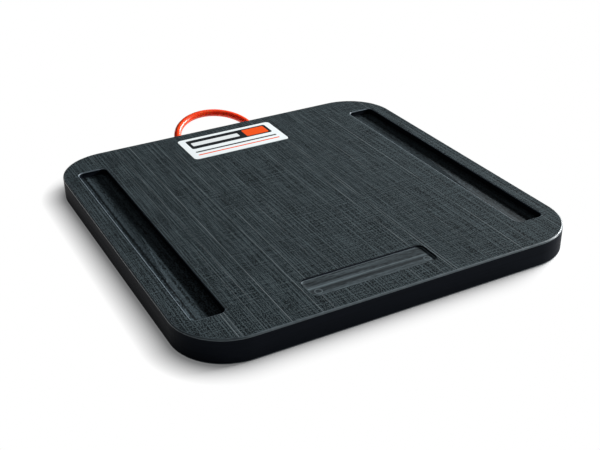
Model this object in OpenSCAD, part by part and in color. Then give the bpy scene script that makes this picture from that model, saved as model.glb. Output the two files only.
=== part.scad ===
// Crane outrigger pad: a thick polyethylene plate with two channels, a carrying loop and a label.
// Origin at the centre of the underside, X along the front edge, Y towards the handle, Z up.

/* [Pad] */
// Width of the pad, across the channels
pad_w = 610; // [560:1:900]
// Depth of the pad, from the front edge to the handle edge
pad_d = 610; // [560:1:900]
// Thickness of the pad
pad_t = 38; // [34:0.5:60]
// Radius of the pad's corners in plan
corner_r = 81; // [40:1:110]
// Radius that breaks the rim of the top and of the underside
edge_r = 2.5; // [1:0.5:5]

/* [Channels] */
// Width of each channel
channel_w = 47; // [30:1:60]
// Length of each channel
channel_l = 484; // [300:1:500]
// Depth of each channel
channel_depth = 10; // [5:0.5:14]
// Distance from the pad's side to the channel
channel_margin = 26; // [16:1:40]
// Radius of the channel's corners in plan, as the cutter leaves them
channel_corner_r = 9.5; // [4:0.5:14]
// Radius that breaks the rim of each channel
channel_rim = 1.5; // [0.5:0.25:4]

/* [Front panel] */
// Width of the shallow panel near the front edge
panel_w = 194; // [100:1:240]
// Depth of the panel in plan, from its front wall to its back wall
panel_d = 45; // [30:1:60]
// How far the panel lies below the top
panel_depth = 2.5; // [1:0.5:5]
// Radius of the panel's corners in plan
panel_corner_r = 8; // [3:0.5:12]
// Offset of the panel's middle from the pad's middle
panel_x = -23; // [-60:1:60]
// Distance from the front edge to the panel
panel_margin = 37; // [20:1:60]

/* [Handle] */
// Diameter of the handle cord
cord_d = 12.7; // [8:0.1:14]
// Distance between the two bores that the cord comes out of, centre to centre
handle_span = 142; // [110:1:180]
// Offset of the handle's middle from the pad's middle
handle_x = -4; // [-60:1:60]
// Height of the bores' centres on the back face
handle_z = 19; // [18:0.5:24]
// Angle by which the bores and the loop rise towards the outside
handle_rise = 16.5; // [0:0.5:20]
// How much wider each bore is than the cord
bore_clear = 0.8; // [0.2:0.1:2]

/* [Cord stops] */
// Wall of the sleeve crimped on each end of the cord
stop_wall = 2.6; // [2:0.1:4]
// Length of the sleeve
stop_l = 14; // [10:0.5:16]
// Bevel at both ends of the sleeve, and depth of its crimp grooves
stop_bevel = 1; // [0.5:0.25:1.5]
// Distance along the bore from the back face to the sleeve's seat
stop_seat = 12; // [10:0.5:18]
// Length of cord that shows past the sleeve
cord_tail = 2; // [1:0.5:5]
// Radius of the anchor pocket's corners in plan
pocket_corner_r = 5; // [3:0.5:7]
// Room left around the sleeve in its pocket
pocket_clear = 1; // [0.5:0.25:2]

/* [Label] */
// Width of the label
label_w = 176; // [100:1:220]
// Depth of the label, from its front edge to its back edge
label_d = 85; // [50:1:110]
// Thickness of the label
label_t = 0.4; // [0.2:0.1:1]
// Radius of the label's corners
label_corner_r = 7; // [2:0.5:12]
// Offset of the label's middle from the pad's middle
label_x = -3; // [-60:1:60]
// Distance from the back edge to the label
label_margin = 25; // [15:1:60]

/* [Hidden] */
$fn = 96;

// How far each cutter reaches past the face that it opens
overcut = 2;
// How far the anchor pockets' cutter reaches below the bores
pocket_reach = pad_t;
channel_x = pad_w / 2 - channel_margin - channel_w / 2;
panel_y = -pad_d / 2 + panel_margin + panel_d / 2;
label_y = pad_d / 2 - label_margin - label_d / 2;
bore_d = cord_d + bore_clear;
stop_d = cord_d + 2 * stop_wall;
cord_end = stop_seat + stop_l + cord_tail;
pocket_w = stop_d + 2 * (pocket_corner_r + pocket_clear);
pocket_l = stop_l + cord_tail + 2 * pocket_clear;
pocket_top = stop_d / 2 + pocket_clear;
crimp_w = stop_l / 7;

// Rectangle with round corners, centred
module rounded_rect(w, d, r) {
  square([w - 2 * r, d], center = true);
  square([w, d - 2 * r], center = true);
  at_corners(w, d, r) circle(r);
}

// Places a child at the centre of each corner round
module at_corners(w, d, r) {
  for (sx = [-1, 1], sy = [-1, 1])
    translate([sx * (w / 2 - r), sy * (d / 2 - r)]) children();
}

// Right half of a section, to be turned about its axis
module right_half() {
  intersection() {
    children();
    translate([0, -pad_t]) square([pad_w, 2 * pad_t]);
  }
}

// Plate with round corners in plan and a round along its top and bottom rim
module plain_plate() {
  at_corners(pad_w, pad_d, corner_r)
    rotate_extrude() right_half() translate([0, pad_t / 2]) rounded_rect(2 * corner_r, pad_t, edge_r);
  translate([0, 0, pad_t / 2]) {
    rotate([90, 0, 90])
      linear_extrude(pad_w - 2 * corner_r, center = true) rounded_rect(pad_d, pad_t, edge_r);
    rotate([90, 0, 0])
      linear_extrude(pad_d - 2 * corner_r, center = true) rounded_rect(pad_w, pad_t, edge_r);
  }
}

// Cutter for a flat pocket in the top, from its floor upwards
module top_pocket(w, d, depth, r) {
  translate([0, 0, pad_t - depth]) linear_extrude(depth + overcut) rounded_rect(w, d, r);
}

// Cutter that rounds a pocket's rim over: it flares out to the top face
module rim_round(w, d, r, rim) {
  translate([0, 0, pad_t - rim]) {
    at_corners(w, d, r) rotate_extrude() right_half() flare(2 * r, rim);
    rotate([90, 0, 90]) linear_extrude(w - 2 * r, center = true) flare(d, rim);
    rotate([90, 0, 0]) linear_extrude(d - 2 * r, center = true) flare(w, rim);
  }
}

// Section of the rounding cutter: width w below, wider by a quarter round on each side above
module flare(w, rim) {
  difference() {
    translate([-w / 2 - rim, 0]) square([w + 2 * rim, rim + overcut]);
    for (side = [-1, 1]) translate([side * (w / 2 + rim), 0]) circle(rim);
  }
}

module channel() {
  top_pocket(channel_w, channel_l, channel_depth, channel_corner_r);
  rim_round(channel_w, channel_l, channel_corner_r, channel_rim);
}

// Frame of the handle: X across, Y out of the plate along the bores
module handle_frame() {
  translate([handle_x, pad_d / 2, handle_z]) rotate([handle_rise, 0, 0]) children();
}

// Frame of one bore: Z runs from the back face into the plate
module bore_frame(side) {
  handle_frame() translate([side * handle_span / 2, 0, 0]) rotate([90, 0, 0]) children();
}

// Bore for the cord, and the pocket below that its stop seats in
module cord_anchor(side) {
  bore_frame(side) {
    translate([0, 0, -bore_d]) cylinder(d = bore_d, h = bore_d + stop_seat + overcut);
    translate([0, pocket_top, stop_seat + pocket_l / 2])
      rotate([90, 0, 0])
        linear_extrude(pocket_top + pocket_reach) rounded_rect(pocket_w, pocket_l, pocket_corner_r);
  }
}

module pad_plate() {
  color("#3d4347") difference() {
    plain_plate();
    for (side = [-1, 1]) {
      translate([side * channel_x, 0, 0]) channel();
      cord_anchor(side);
    }
    translate([panel_x, panel_y, 0]) top_pocket(panel_w, panel_d, panel_depth, panel_corner_r);
  }
}

// Cord bent to a half circle, with a straight leg in each bore
module carry_handle() {
  color("#f4511e") {
    handle_frame() rotate_extrude(angle = 180) translate([handle_span / 2, 0]) circle(d = cord_d);
    for (side = [-1, 1]) bore_frame(side) cylinder(d = cord_d, h = cord_end);
  }
}

// Half section of the crimped sleeve: bevelled ends and two grooves
module stop_section() {
  r = stop_d / 2;
  low = r - stop_bevel;
  polygon([
    [cord_d / 2, 0], [low, 0], [r, stop_bevel],
    [r, 2 * crimp_w], [low, 2.5 * crimp_w], [r, 3 * crimp_w],
    [r, 4 * crimp_w], [low, 4.5 * crimp_w], [r, 5 * crimp_w],
    [r, stop_l - stop_bevel], [low, stop_l], [cord_d / 2, stop_l]
  ]);
}

module cord_stop(side) {
  color("silver") bore_frame(side) translate([0, 0, stop_seat]) rotate_extrude() stop_section();
}

module left_cord_stop() {
  cord_stop(-1);
}

module right_cord_stop() {
  cord_stop(1);
}

module label() {
  color("white") translate([label_x, label_y, pad_t])
    linear_extrude(label_t) rounded_rect(label_w, label_d, label_corner_r);
}

pad_plate();
carry_handle();
left_cord_stop();
right_cord_stop();
label();
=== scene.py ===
"""Looks of a crane outrigger pad: planed black plate, orange carrying loop and a printed label."""
import math

import bmesh
import bpy
from mathutils import Matrix, Vector


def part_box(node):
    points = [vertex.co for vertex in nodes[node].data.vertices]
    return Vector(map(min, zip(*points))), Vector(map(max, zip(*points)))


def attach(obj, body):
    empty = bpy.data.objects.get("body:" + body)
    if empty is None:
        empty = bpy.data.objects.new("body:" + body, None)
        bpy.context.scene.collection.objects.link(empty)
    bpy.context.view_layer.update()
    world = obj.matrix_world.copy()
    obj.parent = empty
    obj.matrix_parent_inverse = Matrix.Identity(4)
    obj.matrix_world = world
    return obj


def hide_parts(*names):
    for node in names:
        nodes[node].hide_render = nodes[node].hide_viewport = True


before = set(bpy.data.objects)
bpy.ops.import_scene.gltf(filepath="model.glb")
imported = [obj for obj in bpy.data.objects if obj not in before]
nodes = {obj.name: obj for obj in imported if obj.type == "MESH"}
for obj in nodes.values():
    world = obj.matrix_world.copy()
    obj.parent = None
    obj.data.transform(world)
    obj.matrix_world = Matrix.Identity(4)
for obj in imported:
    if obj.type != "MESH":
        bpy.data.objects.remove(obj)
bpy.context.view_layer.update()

# Sizes in metres, the rise in degrees: boxes from the frame, the rest as in the part's source
PLATE_LOW, PLATE_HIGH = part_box("pad_plate")
LABEL_LOW, LABEL_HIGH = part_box("label")
PLATE_SIZE = PLATE_HIGH - PLATE_LOW
PLATE_CORNER_R = 0.081
CHANNEL_W = 0.047
CHANNEL_L = 0.484
CHANNEL_DEPTH = 0.010
CHANNEL_X = 0.2555
CHANNEL_RIM = 0.0015
PANEL_W = 0.194
PANEL_D = 0.045
PANEL_DEPTH = 0.0025
PANEL_CORNER_R = 0.008
PANEL_X = -0.023
PANEL_Y = -0.2455
CORD_D = 0.0127
HANDLE_SPAN = 0.142
HANDLE_X = -0.004
HANDLE_Z = 0.019
HANDLE_RISE = 16.5
CORD_LEG = 0.028

# Metres: points nearer than the first are joined, and a cut's floor is known by its depth to the second
WELD = 0.000001
DEPTH_SLACK = 0.0001
# Upright part of a face's normal: walls have less, flat faces have more, and rims lie between
WALL_TILT = 0.05
FLAT_TILT = 0.995
# Fineness of the cord: sides round it, steps round its half turn, and points of its route
CORD_SIDES = 48
CORD_STEPS = 72
ROUTE_STEPS = 30

# The paper floor in metres: half its width, how far it lies below the plate, and the distances from the
# plate's outline between which the shadow gives way to white
FLOOR_REACH = 40
FLOOR_DROP = 0.0002
SHADOW_START = 0.002
SHADOW_END = 0.040

POLYETHYLENE_IOR = 1.51

# The photograph's view: angles in degrees, lens and sensor in millimetres, distances in metres
VIEW_AZIMUTH = -27.61
VIEW_ELEVATION = 28.85
VIEW_ROLL = -1.14
VIEW_DISTANCE = 1.5262
VIEW_SIDE = 0.0008
VIEW_UP = -0.0154
VIEW_LENS = 58.43
SENSOR_W = 36


def linear(hex_colour):
    """An sRGB hex colour as linear red, green, blue and alpha."""
    parts = [int(hex_colour[i:i + 2], 16) / 255 for i in (1, 3, 5)]
    return [c / 12.92 if c <= 0.04045 else ((c + 0.055) / 1.055) ** 2.4 for c in parts] + [1.0]


def add(tree, kind, inputs=None, **settings):
    """Adds a node with its settings. An input given as a node is linked from its first live output."""
    node = tree.nodes.new(kind)
    for name, value in settings.items():
        setattr(node, name, value)
    for name, value in (inputs or {}).items():
        if isinstance(value, bpy.types.Node):
            value = next(out for out in value.outputs if out.enabled)
        if isinstance(value, bpy.types.NodeSocket):
            tree.links.new(value, node.inputs[name])
        else:
            node.inputs[name].default_value = value
    return node


def new_material(name):
    """An empty material, its tree and its object coordinates."""
    material = bpy.data.materials.new(name)
    material.use_nodes = True
    tree = material.node_tree
    tree.nodes.clear()
    return material, tree, add(tree, "ShaderNodeTexCoord").outputs["Object"]


def close_material(tree, inputs):
    """Ends a material's tree with its Principled shader and the output."""
    shader = add(tree, "ShaderNodeBsdfPrincipled", inputs)
    add(tree, "ShaderNodeOutputMaterial", {"Surface": shader})


def grain(tree, place, size_mm, detail):
    """Noise whose cells measure size_mm along X, Y and Z."""
    scale = [1000 / size for size in size_mm]
    cells = add(tree, "ShaderNodeMapping", {"Vector": place, "Scale": scale})
    return add(tree, "ShaderNodeTexNoise", {
        "Vector": cells, "Scale": 1.0, "Detail": detail, "Roughness": 0.6})


def distance_from_core(tree, place, centre, size, corner):
    """Distance in plan from a rectangle's core: it equals the corner radius all along the outline."""
    plan = add(tree, "ShaderNodeVectorMath", {0: place, 1: (1, 1, 0)}, operation="MULTIPLY")
    offset = add(tree, "ShaderNodeVectorMath", {0: plan, 1: (*centre, 0)}, operation="SUBTRACT")
    folded = add(tree, "ShaderNodeVectorMath", {0: offset}, operation="ABSOLUTE")
    core = (size[0] / 2 - corner, size[1] / 2 - corner, 0)
    beyond = add(tree, "ShaderNodeVectorMath", {0: folded, 1: core}, operation="SUBTRACT")
    outside = add(tree, "ShaderNodeVectorMath", {0: beyond, 1: (0, 0, 0)}, operation="MAXIMUM")
    return add(tree, "ShaderNodeVectorMath", {0: outside}, operation="LENGTH")


def band(tree, along, middle, core, edge, strength):
    """A band's strength along one measure: full within core of its middle, and none past edge."""
    beside = add(tree, "ShaderNodeMath", {0: along, 1: middle}, operation="SUBTRACT")
    reach = add(tree, "ShaderNodeMath", {0: beside}, operation="ABSOLUTE")
    return add(tree, "ShaderNodeMapRange", {0: reach, 1: core, 2: edge, 3: strength, 4: 0.0})


def planed_polyethylene():
    # Planed sheet: dull charcoal with a linen look, fine lines along Y over fainter ones along X,
    # and here and there a long pale scratch from a nick in the planer's knife
    material, tree, place = new_material("planed_polyethylene")
    across = add(tree, "ShaderNodeSeparateXYZ", {0: place})
    # Real planer lines are a few tenths of a millimetre apart, so they are drawn coarser to show.
    # Each way: axis across the lines, their spacing in millimetres, and the patches that they fade in.
    # How far a line reaches to each side is a share of its spacing
    lines = []
    for axis, spacing, patch in (("X", 2.6, (1.5, 60, 20)), ("Y", 4.2, (26, 2.1, 20))):
        cell = add(tree, "ShaderNodeMath", {
            0: across.outputs[axis], 1: 1000 / spacing}, operation="MULTIPLY")
        beside = add(tree, "ShaderNodeTexVoronoi", {
            "W": cell, "Scale": 1.0, "Randomness": 0.8}, voronoi_dimensions="1D")
        line = add(tree, "ShaderNodeMapRange", {0: beside, 1: 0.05, 2: 0.35, 3: 1.0, 4: 0.0})
        fade = add(tree, "ShaderNodeMapRange", {
            0: grain(tree, place, patch, 0), 1: 0.3, 2: 0.7, 3: 0.0, 4: 1.0})
        lines.append(add(tree, "ShaderNodeMath", {0: line, 1: fade}, operation="MULTIPLY"))
    hatching = add(tree, "ShaderNodeMix", {0: 0.35, 2: lines[0], 3: lines[1]})
    fibre = grain(tree, place, (1.4, 2.1, 20), 0)
    linen = add(tree, "ShaderNodeMix", {0: 0.6, 2: hatching, 3: fibre})
    tone = add(tree, "ShaderNodeMapRange", {0: linen, 1: 0.27, 2: 0.51, 3: 0.0, 4: 1.0})
    ground = add(tree, "ShaderNodeMix", {
        0: tone, 6: linear("#04070a"), 7: linear("#485357")}, data_type="RGBA")
    # Nicks in the knife, about this many millimetres apart: each leaves a scratch that fades in and out
    nick_spacing = 20
    cell = add(tree, "ShaderNodeMath", {0: across, 1: 1000 / nick_spacing}, operation="MULTIPLY")
    nick = add(tree, "ShaderNodeTexVoronoi", {"W": cell, "Scale": 1.0}, voronoi_dimensions="1D")
    line = add(tree, "ShaderNodeMapRange", {0: nick, 1: 0.011, 2: 0.022, 3: 0.7, 4: 0.0})
    depth = add(tree, "ShaderNodeMapRange", {
        0: nick.outputs["Color"], 1: 0.3, 2: 0.8, 3: 0.1, 4: 1.0})
    mark = add(tree, "ShaderNodeMath", {0: line, 1: depth}, operation="MULTIPLY")
    fade = add(tree, "ShaderNodeMapRange", {
        0: grain(tree, place, (27, 110, 20), 1), 1: 0.35, 2: 0.6, 3: 0.1, 4: 1.0})
    scratch = add(tree, "ShaderNodeMath", {0: mark, 1: fade}, operation="MULTIPLY")
    colour = add(tree, "ShaderNodeMix", {
        0: scratch, 6: ground, 7: linear("#9aa4a8")}, data_type="RGBA")
    # Painted highlight: a thin pale line along the right channel's left rim, where light from the right
    # catches the edge. In metres:
    # its gap from the rim, half its width, how far it stops short of the channel's ends, and its fade there
    highlight_gap = 0.0008
    highlight_half_w = 0.001
    highlight_short = 0.006
    highlight_fade = 0.006
    highlight_middle = CHANNEL_X - CHANNEL_W / 2 - CHANNEL_RIM - highlight_gap
    rim_highlight = band(tree, across, highlight_middle, highlight_half_w / 2, highlight_half_w, 0.35)
    end = CHANNEL_L / 2 - highlight_short
    stop = band(tree, across.outputs["Y"], 0, end - highlight_fade, end, 1.0)
    highlight_mask = add(tree, "ShaderNodeMath", {0: rim_highlight, 1: stop}, operation="MULTIPLY")
    colour = add(tree, "ShaderNodeMix", {
        0: highlight_mask, 6: colour, 7: linear("#707b80")}, data_type="RGBA")
    rough = add(tree, "ShaderNodeMapRange", {0: linen, 1: 0.2, 2: 0.6, 3: 0.8, 4: 0.9})
    relief = add(tree, "ShaderNodeBump", {"Height": linen, "Strength": 0.15, "Distance": 0.0004})
    close_material(tree, {
        "Base Color": colour, "Roughness": rough, "Normal": relief, "IOR": POLYETHYLENE_IOR,
        "Specular IOR Level": 0.04})
    return material


def milled_polyethylene():
    # Milled edges and pocket walls: cut clean, so nearly black, with faint cutter lines one above another
    material, tree, place = new_material("milled_polyethylene")
    cutter = grain(tree, place, (120, 120, 2.2), 2)
    colour = add(tree, "ShaderNodeMix", {
        0: cutter, 6: linear("#101318"), 7: linear("#1a1e25")}, data_type="RGBA")
    rough = add(tree, "ShaderNodeMapRange", {0: cutter, 1: 0.35, 2: 0.65, 3: 0.4, 4: 0.5})
    close_material(tree, {
        "Base Color": colour, "Roughness": rough, "IOR": POLYETHYLENE_IOR, "Specular IOR Level": 0.014})
    return material


def eased_polyethylene(name, low, high):
    # Rims eased with a rounding cutter, paler than the top: partly burnish and partly painted highlight, so
    # they show as thin bright lines
    material, tree, place = new_material(name)
    wear = grain(tree, place, (9, 9, 9), 3)
    colour = add(tree, "ShaderNodeMix", {
        0: wear, 6: linear(low), 7: linear(high)}, data_type="RGBA")
    rough = add(tree, "ShaderNodeMapRange", {0: wear, 1: 0.35, 2: 0.65, 3: 0.32, 4: 0.42})
    close_material(tree, {
        "Base Color": colour, "Roughness": rough, "IOR": POLYETHYLENE_IOR, "Specular IOR Level": 0.3})
    return material


def routed_channel_polyethylene():
    # Channel floors: routed lengthwise in passes, so fine tracks run along Y, and the seams between passes
    # show as a burnished pale band and a thin ridge; a dark line near the wall is painted shade
    material, tree, place = new_material("routed_channel_polyethylene")
    track = grain(tree, place, (3.4, 260, 20), 2)
    chatter = grain(tree, place, (1.5, 2.6, 20), 0)
    tracks = add(tree, "ShaderNodeMix", {0: 0.55, 2: track, 3: chatter})
    tone = add(tree, "ShaderNodeMapRange", {0: tracks, 1: 0.4, 2: 0.62, 3: 0.0, 4: 1.0})
    ground = add(tree, "ShaderNodeMix", {
        0: tone, 6: linear("#0c1012"), 7: linear("#3f4a4f")}, data_type="RGBA")
    # Distance from the left wall, the same in both channels
    across = add(tree, "ShaderNodeSeparateXYZ", {0: place})
    start = add(tree, "ShaderNodeMath", {0: across, 1: CHANNEL_X + CHANNEL_W / 2}, operation="ADD")
    offset = add(tree, "ShaderNodeMath", {0: start, 1: 2 * CHANNEL_X}, operation="FLOORED_MODULO")
    colour = ground
    # Each band: its place and half width in millimetres, its tone and how strongly it shows; the first,
    # dark one near the wall is painted shade
    for middle, half_width, seam_and_shade_tone, strength in (
        (10, 2.0, "#05070a", 0.8), (15.5, 3.0, "#465055", 0.4), (24.5, 1.4, "#465055", 0.3),
    ):
        half = half_width / 1000
        seam_and_shade = band(tree, offset, middle / 1000, 0.4 * half, half, strength)
        colour = add(tree, "ShaderNodeMix", {0: seam_and_shade, 6: colour, 7: linear(seam_and_shade_tone)}, data_type="RGBA")
    # Painted shade: the right channel's floor is darkened, as it lies deeper in shadow than the left one,
    # so the tone steps at the plate's middle
    right = add(tree, "ShaderNodeMapRange", {0: across, 1: -0.001, 2: 0.001, 3: 0.0, 4: 0.35})
    colour = add(tree, "ShaderNodeMix", {0: right, 6: colour, 7: linear("#0a0d0f")}, data_type="RGBA")
    rough = add(tree, "ShaderNodeMapRange", {0: tracks, 1: 0.35, 2: 0.65, 3: 0.42, 4: 0.56})
    close_material(tree, {
        "Base Color": colour, "Roughness": rough, "IOR": POLYETHYLENE_IOR, "Specular IOR Level": 0.06})
    return material


def routed_panel_polyethylene():
    # Panel floor: routed crosswise in overlapping passes, which show as soft bands along X
    material, tree, place = new_material("routed_panel_polyethylene")
    passes = grain(tree, place, (190, 5.5, 20), 1)
    chatter = grain(tree, place, (9, 1.8, 20), 2)
    bands = add(tree, "ShaderNodeMix", {0: 0.4, 2: passes, 3: chatter})
    tone = add(tree, "ShaderNodeMapRange", {0: bands, 1: 0.36, 2: 0.64, 3: 0.0, 4: 1.0})
    ground = add(tree, "ShaderNodeMix", {
        0: tone, 6: linear("#11171a"), 7: linear("#545f64")}, data_type="RGBA")
    # Each pass: distance of its middle from the panel's, half width in millimetres, tone and strength
    along = add(tree, "ShaderNodeSeparateXYZ", {0: place})
    colour = ground
    for middle, half_width, pass_tone, strength in (
        (9, 5.0, "#12181b", 0.5), (0.5, 1.6, "#6c787d", 0.5), (-6, 4.5, "#0c1114", 0.7),
    ):
        half = half_width / 1000
        lane = band(tree, along.outputs["Y"], PANEL_Y + middle / 1000, 0.4 * half, half, strength)
        colour = add(tree, "ShaderNodeMix", {0: lane, 6: colour, 7: linear(pass_tone)}, data_type="RGBA")
    # The last pass round the wall leaves a paler line at its foot
    foot_start = PANEL_CORNER_R - 0.0025
    foot_full = PANEL_CORNER_R - 0.0015
    reach = distance_from_core(tree, place, (PANEL_X, PANEL_Y), (PANEL_W, PANEL_D), PANEL_CORNER_R)
    foot = add(tree, "ShaderNodeMapRange", {0: reach, 1: foot_start, 2: foot_full, 3: 0.0, 4: 0.85})
    colour = add(tree, "ShaderNodeMix", {
        0: foot, 6: colour, 7: linear("#6a757a")}, data_type="RGBA")
    # A ring at each end, where the cutter went in, placed by its offset from the panel's middle
    ring_r = 0.005
    ring_half_w = 0.0012
    for offset in ((-0.0845, -0.0095), (0.086, -0.0105)):
        centre = (PANEL_X + offset[0], PANEL_Y + offset[1])
        reach = distance_from_core(tree, place, centre, (0, 0), 0)
        ring = band(tree, reach, ring_r, ring_half_w / 3, ring_half_w, 0.5)
        colour = add(tree, "ShaderNodeMix", {0: ring, 6: colour, 7: linear("#6f7b80")}, data_type="RGBA")
    rough = add(tree, "ShaderNodeMapRange", {0: bands, 1: 0.35, 2: 0.65, 3: 0.7, 4: 0.8})
    close_material(tree, {
        "Base Color": colour, "Roughness": rough, "IOR": POLYETHYLENE_IOR, "Specular IOR Level": 0.08})
    return material


def cast_urethane():
    # Cast polyurethane cord: smooth and glossy, strong orange, with the faint haze of handling
    material, tree, place = new_material("cast_urethane")
    haze = grain(tree, place, (40, 40, 40), 2)
    colour = add(tree, "ShaderNodeMix", {
        0: haze, 6: linear("#f8410a"), 7: linear("#ff4d12")}, data_type="RGBA")
    rough = add(tree, "ShaderNodeMapRange", {0: haze, 1: 0.35, 2: 0.65, 3: 0.26, 4: 0.32})
    close_material(tree, {
        "Base Color": colour, "Roughness": rough, "IOR": 1.5, "Subsurface Weight": 0.55,
        "Subsurface Radius": (1.0, 0.2, 0.08), "Subsurface Scale": 0.012})
    return material


def printed_vinyl():
    # Matt vinyl film, screen printed: white without glare, a charcoal heading with a bare field
    # and an orange block, and two ruled lines below
    material, tree, place = new_material("printed_vinyl")
    middle = (LABEL_LOW + LABEL_HIGH) / 2
    film = grain(tree, place, (26, 26, 26), 3)
    colour = add(tree, "ShaderNodeMix", {
        0: film, 6: linear("#ebf3f5"), 7: linear("#f4fafb")}, data_type="RGBA")
    # Each printed field: offset of its middle from the label's middle, size, corner, ink
    fields = (
        ((0, 0.0165), (0.152, 0.036), 0.004, "#1c2023"),
        ((-0.026, 0.0165), (0.088, 0.014), 0.002, "#e8edee"),
        ((0.050, 0.0165), (0.042, 0.028), 0.003, "#f2551a"),
        ((0, -0.0155), (0.152, 0.0045), 0.001, "#2c3134"),
        ((0, -0.0280), (0.152, 0.0035), 0.001, "#f2551a"),
    )
    ink_bleed = 0.0001
    for offset, size, corner, ink in fields:
        centre = (middle.x + offset[0], middle.y + offset[1])
        reach = distance_from_core(tree, place, centre, size, corner)
        inked = add(tree, "ShaderNodeMapRange", {
            0: reach, 1: corner - ink_bleed, 2: corner + ink_bleed, 3: 1.0, 4: 0.0})
        colour = add(tree, "ShaderNodeMix", {0: inked, 6: colour, 7: linear(ink)}, data_type="RGBA")
    rough = add(tree, "ShaderNodeMapRange", {0: film, 1: 0.35, 2: 0.65, 3: 0.6, 4: 0.7})
    close_material(tree, {
        "Base Color": colour, "Roughness": rough, "IOR": 1.5, "Specular IOR Level": 0.08})
    return material


def crimped_aluminium():
    # Aluminium sleeve: bright but dulled where the crimping tool gripped it
    material, tree, place = new_material("crimped_aluminium")
    grip = grain(tree, place, (1.4, 5, 1.4), 2)
    colour = add(tree, "ShaderNodeMix", {
        0: grip, 6: linear("#9fa2a5"), 7: linear("#c3c6c8")}, data_type="RGBA")
    rough = add(tree, "ShaderNodeMapRange", {0: grip, 1: 0.35, 2: 0.65, 3: 0.28, 4: 0.45})
    close_material(tree, {"Base Color": colour, "Roughness": rough, "Metallic": 1.0})
    return material


def paper_sweep():
    # White paper that takes the pad's shadow, and runs out to plain white away from it
    material, tree, place = new_material("paper_sweep")
    paper = add(tree, "ShaderNodeBsdfDiffuse", {"Color": linear("#fcfcfc")})
    white = add(tree, "ShaderNodeEmission", {"Color": linear("#ffffff"), "Strength": 1.0})
    reach = distance_from_core(tree, place, (0, 0), (PLATE_SIZE.x, PLATE_SIZE.y), PLATE_CORNER_R)
    away = add(tree, "ShaderNodeMapRange", {
        0: reach, 1: PLATE_CORNER_R + SHADOW_START, 2: PLATE_CORNER_R + SHADOW_END, 3: 0.15, 4: 1.0})
    ray = add(tree, "ShaderNodeLightPath")
    mirrored = add(tree, "ShaderNodeMath", {
        0: ray.outputs["Is Camera Ray"], 1: ray.outputs["Is Glossy Ray"]}, operation="MAXIMUM")
    seen = add(tree, "ShaderNodeMath", {
        0: mirrored, 1: ray.outputs["Is Transmission Ray"]}, operation="MAXIMUM")
    share = add(tree, "ShaderNodeMath", {0: away, 1: seen}, operation="MULTIPLY")
    mix = add(tree, "ShaderNodeMixShader", {0: share, 1: paper, 2: white})
    add(tree, "ShaderNodeOutputMaterial", {"Surface": mix})
    return material


def new_piece(name, shape):
    """A mesh object at the origin, shaped by a function that works on a bmesh."""
    mesh = bpy.data.meshes.new(name)
    work = bmesh.new()
    shape(work)
    work.to_mesh(mesh)
    work.free()
    piece = bpy.data.objects.new(name, mesh)
    bpy.context.scene.collection.objects.link(piece)
    return piece


def smooth(piece, sharp_angle):
    """Shades a piece smooth, apart from edges sharper than an angle in degrees."""
    for face in piece.data.polygons:
        face.use_smooth = True
    piece.data.set_sharp_from_angle(angle=math.radians(sharp_angle))


def make_camera():
    """Camera at the photograph's angle, aimed at the plate's middle and then shifted and rolled."""
    azimuth = math.radians(VIEW_AZIMUTH)
    elevation = math.radians(VIEW_ELEVATION)
    turn = Matrix.Rotation(azimuth, 3, "Z") @ Matrix.Rotation(math.pi / 2 - elevation, 3, "X")
    turn = turn @ Matrix.Rotation(math.radians(VIEW_ROLL), 3, "Z")
    data = bpy.data.cameras.new("photo_view")
    data.sensor_width = SENSOR_W
    data.lens = VIEW_LENS
    camera = bpy.data.objects.new("photo_view", data)
    bpy.context.scene.collection.objects.link(camera)
    place = turn @ Vector((VIEW_SIDE, VIEW_UP, VIEW_DISTANCE))
    camera.matrix_world = Matrix.Translation(place) @ turn.to_4x4()
    bpy.context.scene.camera = camera


def handle_place():
    """Frame of the loop: X across, Y out of the plate along the bores, Z up from the loop's plane."""
    foot = Matrix.Translation((HANDLE_X, PLATE_HIGH.y, HANDLE_Z))
    return foot @ Matrix.Rotation(math.radians(HANDLE_RISE), 4, "X")


def cord_shape(work):
    """Round cord: a straight leg, half a turn, and the other leg."""
    stand = Matrix.Translation((HANDLE_SPAN / 2, -CORD_LEG, 0)) @ Matrix.Rotation(math.pi / 2, 4, "X")
    ring = bmesh.ops.create_circle(work, segments=CORD_SIDES, radius=CORD_D / 2, matrix=stand)
    edges = list({edge for vert in ring["verts"] for edge in vert.link_edges})
    leg = bmesh.ops.extrude_edge_only(work, edges=edges)["geom"]
    end = [item for item in leg if isinstance(item, bmesh.types.BMVert)]
    bmesh.ops.translate(work, verts=end, vec=(0, CORD_LEG, 0))
    edges = [item for item in leg if isinstance(item, bmesh.types.BMEdge)]
    turned = bmesh.ops.spin(
        work, geom=end + edges, cent=(0, 0, 0), axis=(0, 0, 1), angle=math.pi,
        steps=CORD_STEPS)["geom_last"]
    edges = [item for item in turned if isinstance(item, bmesh.types.BMEdge)]
    leg = bmesh.ops.extrude_edge_only(work, edges=edges)["geom"]
    end = [item for item in leg if isinstance(item, bmesh.types.BMVert)]
    bmesh.ops.translate(work, verts=end, vec=(0, -CORD_LEG, 0))
    bmesh.ops.holes_fill(work, edges=[edge for edge in work.edges if edge.is_boundary], sides=CORD_SIDES)
    bmesh.ops.remove_doubles(work, verts=work.verts[:], dist=WELD)
    bmesh.ops.recalc_face_normals(work, faces=work.faces[:])
    bmesh.ops.transform(work, matrix=handle_place(), verts=work.verts[:])


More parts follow.
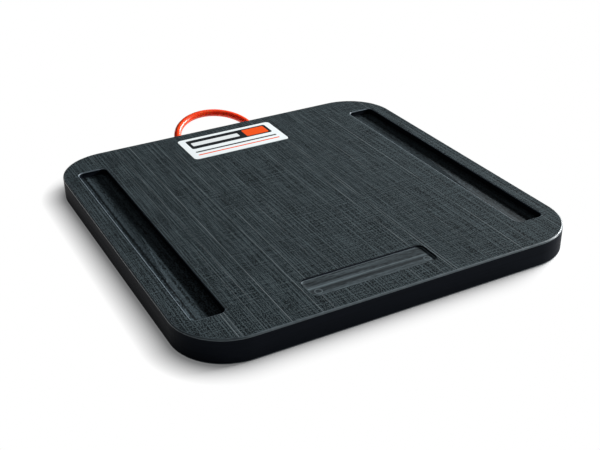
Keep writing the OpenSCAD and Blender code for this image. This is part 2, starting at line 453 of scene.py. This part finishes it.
def make_handle():
    """The carrying loop: a stiff cord's mesh, and the points of its route."""
    handle = new_piece("carrying_loop", cord_shape)
    smooth(handle, sharp_angle=40)
    handle.data.materials.append(cast_urethane())
    radius = HANDLE_SPAN / 2
    turns = [math.pi * step / ROUTE_STEPS for step in range(ROUTE_STEPS + 1)]
    route = [Vector((radius, -CORD_LEG, 0))]
    route += [Vector((radius * math.cos(turn), radius * math.sin(turn), 0)) for turn in turns]
    route += [Vector((-radius, -CORD_LEG, 0))]
    route = [handle_place() @ point for point in route]
    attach(handle, "root")
    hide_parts("carry_handle")


def plate_shape(work):
    """The plate's solid with its loose triangles joined."""
    work.from_mesh(nodes["pad_plate"].data)
    bmesh.ops.remove_doubles(work, verts=work.verts[:], dist=WELD)


def by_channel(point):
    """Whether a point of the rims belongs to a channel."""
    beside = abs(abs(point.x) - CHANNEL_X) < CHANNEL_W / 2 + CHANNEL_RIM
    return beside and abs(point.y) < CHANNEL_L / 2 + CHANNEL_RIM


def make_plate():
    """The plate, with each kind of cut surface in its own finish."""
    plate = new_piece("plate_finish", plate_shape)
    smooth(plate, sharp_angle=35)
    plate.data.materials.clear()
    for material in (
        planed_polyethylene(), milled_polyethylene(),
        # The eased rims and channel rims get paler colours, partly as painted highlight
        eased_polyethylene("eased_polyethylene", "#3c464b", "#6a757a"),
        routed_channel_polyethylene(), routed_panel_polyethylene(),
        eased_polyethylene("channel_rim_polyethylene", "#48535b", "#78848c"),
    ):
        plate.data.materials.append(material)
    planed, milled, eased, channel_floor, panel_floor, channel_rim = range(6)
    for face in plate.data.polygons:
        below = PLATE_HIGH.z - face.center.z
        tilt = abs(face.normal.z)
        if tilt < WALL_TILT:
            face.material_index = milled
        elif tilt < FLAT_TILT:
            face.material_index = channel_rim if by_channel(face.center) else eased
        elif abs(below - CHANNEL_DEPTH) < DEPTH_SLACK:
            face.material_index = channel_floor
        elif abs(below - PANEL_DEPTH) < DEPTH_SLACK:
            face.material_index = panel_floor
        else:
            face.material_index = planed
    even = plate.modifiers.new("even_normals", "WEIGHTED_NORMAL")
    even.keep_sharp = True
    even.weight = 100
    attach(plate, "root")
    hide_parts("pad_plate")


def finish_nodes():
    """Finishes of the solids that stay as they are."""
    sleeve = crimped_aluminium()
    for name, material in (
        ("left_cord_stop", sleeve), ("right_cord_stop", sleeve), ("label", printed_vinyl()),
    ):
        nodes[name].data.materials.clear()
        nodes[name].data.materials.append(material)


def make_softbox(name, place, width, height, power):
    """A soft lamp that faces the plate's middle."""
    data = bpy.data.lights.new(name, "AREA")
    data.shape = "RECTANGLE"
    data.size = width
    data.size_y = height
    data.energy = power
    lamp = bpy.data.objects.new(name, data)
    bpy.context.scene.collection.objects.link(lamp)
    lamp.location = place
    lamp.rotation_euler = (-Vector(place)).to_track_quat("-Z", "Y").to_euler()


def floor_shape(work):
    """One wide square, a hair below the plate's underside."""
    drop = Matrix.Translation((0, 0, -FLOOR_DROP))
    bmesh.ops.create_grid(work, x_segments=1, y_segments=1, size=FLOOR_REACH, matrix=drop)


def make_studio():
    """White floor, soft light from the right, a weaker one from above and a dim room."""
    floor = new_piece("floor", floor_shape)
    floor.data.materials.append(paper_sweep())
    make_softbox("right_softbox", place=(4.57, 0.44, 1.98), width=3.4, height=0.5, power=610)
    make_softbox("top_softbox", place=(0.9, 0.3, 2.2), width=1.6, height=1.6, power=4)
    world = bpy.data.worlds.new("room")
    world.use_nodes = True
    room = world.node_tree.nodes["Background"]
    room.inputs["Color"].default_value = linear("#e8f0f8")
    room.inputs["Strength"].default_value = 0.07
    bpy.context.scene.world = world
    bpy.context.scene.view_settings.view_transform = "Standard"


make_camera()
make_handle()
make_plate()
finish_nodes()
make_studio()
